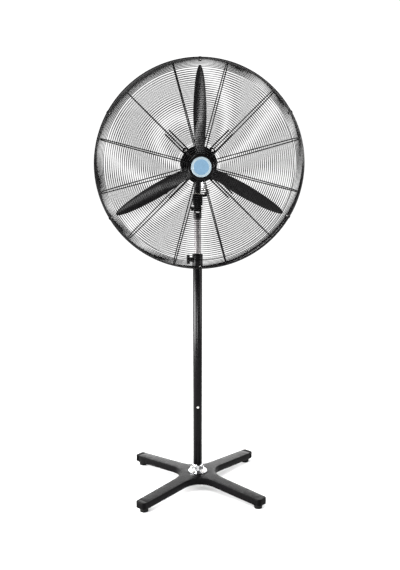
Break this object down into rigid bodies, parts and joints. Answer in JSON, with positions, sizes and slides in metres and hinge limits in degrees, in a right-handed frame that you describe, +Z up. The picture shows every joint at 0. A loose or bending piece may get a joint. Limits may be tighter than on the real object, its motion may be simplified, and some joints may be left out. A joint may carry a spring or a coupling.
{
  "type": "pedestal fan",
  "caption": "Tall industrial pedestal fan with a round wire guard, paddle blades, oscillating tilting head, height-adjustable pole and cross base.",
  "frame": {"origin": "on the floor, under the axis of the pole", "axes": "+Z up the pole, the fan blows towards -Y"},
  "size_m": [0.81, 0.5288, 1.7936],
  "materials": {
    "gloss_black_paint": "gloss",
    "satin_black_paint": "satin",
    "black_plastic": "satin",
    "rubber": "matt",
    "chrome": "mirror",
    "zinc_steel": "bright",
    "steel_tube": "satin",
    "machined_steel": "ground",
    "laminations": "matt",
    "copper": "enamelled",
    "bronze": "machined",
    "cast_aluminium": "as cast",
    "nylon": "satin",
    "blue_badge": "gloss",
    "grey_plastic": "satin",
    "blade_black": "satin"
  },
  "bodies": {
    "stand": {"base_cross": "satin_black_paint", "arm_end_caps": "black_plastic", "rubber_feet": "rubber", "pole_flange": "chrome", "flange_bolts": "zinc_steel", "outer_pole": "gloss_black_paint", "pole_screws": "zinc_steel", "pole_bush": "black_plastic", "height_collar": "gloss_black_paint"},
    "height_knob": {"height_knob": "black_plastic", "height_clamp_screw": "zinc_steel"},
    "mast": {"inner_pole": "steel_tube", "pole_glide": "black_plastic", "neck_socket": "gloss_black_paint", "socket_screw": "zinc_steel", "tilt_bolt": "zinc_steel"},
    "wing_nut": {"tilt_wing_nut": "black_plastic"},
    "tilt_neck": {"tilt_bracket": "gloss_black_paint", "thrust_washer": "nylon", "anchor_pin": "zinc_steel", "spindle_grub_screw": "zinc_steel"},
    "head": {"head_stem": "gloss_black_paint", "housing_screws": "zinc_steel", "motor_front_shell": "satin_black_paint", "motor_rear_shell": "satin_black_paint", "stator_core": "laminations", "stator_windings": "copper", "bearing_outer_rings": "machined_steel", "gearbox_housing": "cast_aluminium", "gearbox_lid": "cast_aluminium", "crank_bush": "bronze", "rear_cover": "black_plastic", "rotary_switch": "grey_plastic", "run_capacitor": "grey_plastic", "cable_gland": "black_plastic", "front_guard_rings": "gloss_black_paint", "front_guard_spokes": "gloss_black_paint", "rear_guard_rings": "gloss_black_paint", "rear_guard_spokes": "gloss_black_paint", "front_centre_plate": "gloss_black_paint", "badge_disc": "blue_badge", "rear_guard_mount": "gloss_black_paint", "guard_clips": "gloss_black_paint", "guard_screws": "zinc_steel"},
    "rotor": {"motor_shaft": "machined_steel", "rotor_core": "laminations", "bearing_inner_rings": "machined_steel", "worm": "machined_steel", "fan_hub": "cast_aluminium", "fan_blade_1": "blade_black", "fan_blade_2": "blade_black", "fan_blade_3": "blade_black", "blade_screws": "zinc_steel", "hub_nut": "zinc_steel"},
    "worm_wheel": {"worm_wheel": "nylon"},
    "crank": {"crank_shaft": "machined_steel", "crank_arm": "zinc_steel"},
    "link": {"link_bar": "gloss_black_paint"},
    "clutch": {"clutch_pin": "black_plastic"},
    "speed_knob": {"speed_knob": "black_plastic"}
  },
  "joints": [
    {"name": "height_slide", "type": "slide", "parent": "stand", "child": "mast", "axis": [0, 0, 1], "range_m": [-0.14, 0.2]},
    {"name": "height_knob_turn", "type": "hinge", "parent": "stand", "child": "height_knob", "pos_m": [-0.038, 0, 0.993], "axis": [-1, 0, 0], "range_deg": [0, 360]},
    {"name": "head_tilt", "type": "hinge", "parent": "mast", "child": "tilt_neck", "pos_m": [0, 0, 1.201], "axis": [-1, 0, 0], "range_deg": [-10, 20]},
    {"name": "tilt_nut_turn", "type": "hinge", "parent": "mast", "child": "wing_nut", "pos_m": [-0.02, 0, 1.201], "axis": [-1, 0, 0], "range_deg": [0, 180]},
    {"name": "oscillation", "type": "hinge", "parent": "tilt_neck", "child": "head", "pos_m": [0, 0, 1.26], "axis": [0, 0, 1], "range_deg": [-38, 38]},
    {"name": "rotor_spin", "type": "hinge", "parent": "head", "child": "rotor", "pos_m": [0, -0.1456, 1.3875], "axis": [0, 1, 0], "continuous": true},
    {"name": "worm_wheel_spin", "type": "hinge", "parent": "head", "child": "worm_wheel", "pos_m": [0.028, 0.078, 1.3875], "axis": [0, 0, 1], "continuous": true},
    {"name": "crank_turn", "type": "hinge", "parent": "head", "child": "crank", "pos_m": [0.028, 0.078, 1.33], "axis": [0, 0, 1], "range_deg": [-90, 90]},
    {"name": "link_swing", "type": "hinge", "parent": "crank", "child": "link", "pos_m": [0.0471, 0.078, 1.2646], "axis": [0, 0, 1], "range_deg": [-90, 90]},
    {"name": "clutch_pull", "type": "slide", "parent": "head", "child": "clutch", "axis": [0, 0, 1], "range_m": [0, 0.008]},
    {"name": "speed_knob_turn", "type": "hinge", "parent": "head", "child": "speed_knob", "pos_m": [0, 0.13, 1.3555], "axis": [0, -1, 0], "range_deg": [0, 135]}
  ],
  "couplings": [
    {"joint": "worm_wheel_spin", "follows": "rotor_spin", "ratio": 0.027778},
    {"joint": "crank_turn", "follows": "oscillation", "ratio": -2.36},
    {"joint": "link_swing", "follows": "oscillation", "ratio": 2.36}
  ]
}
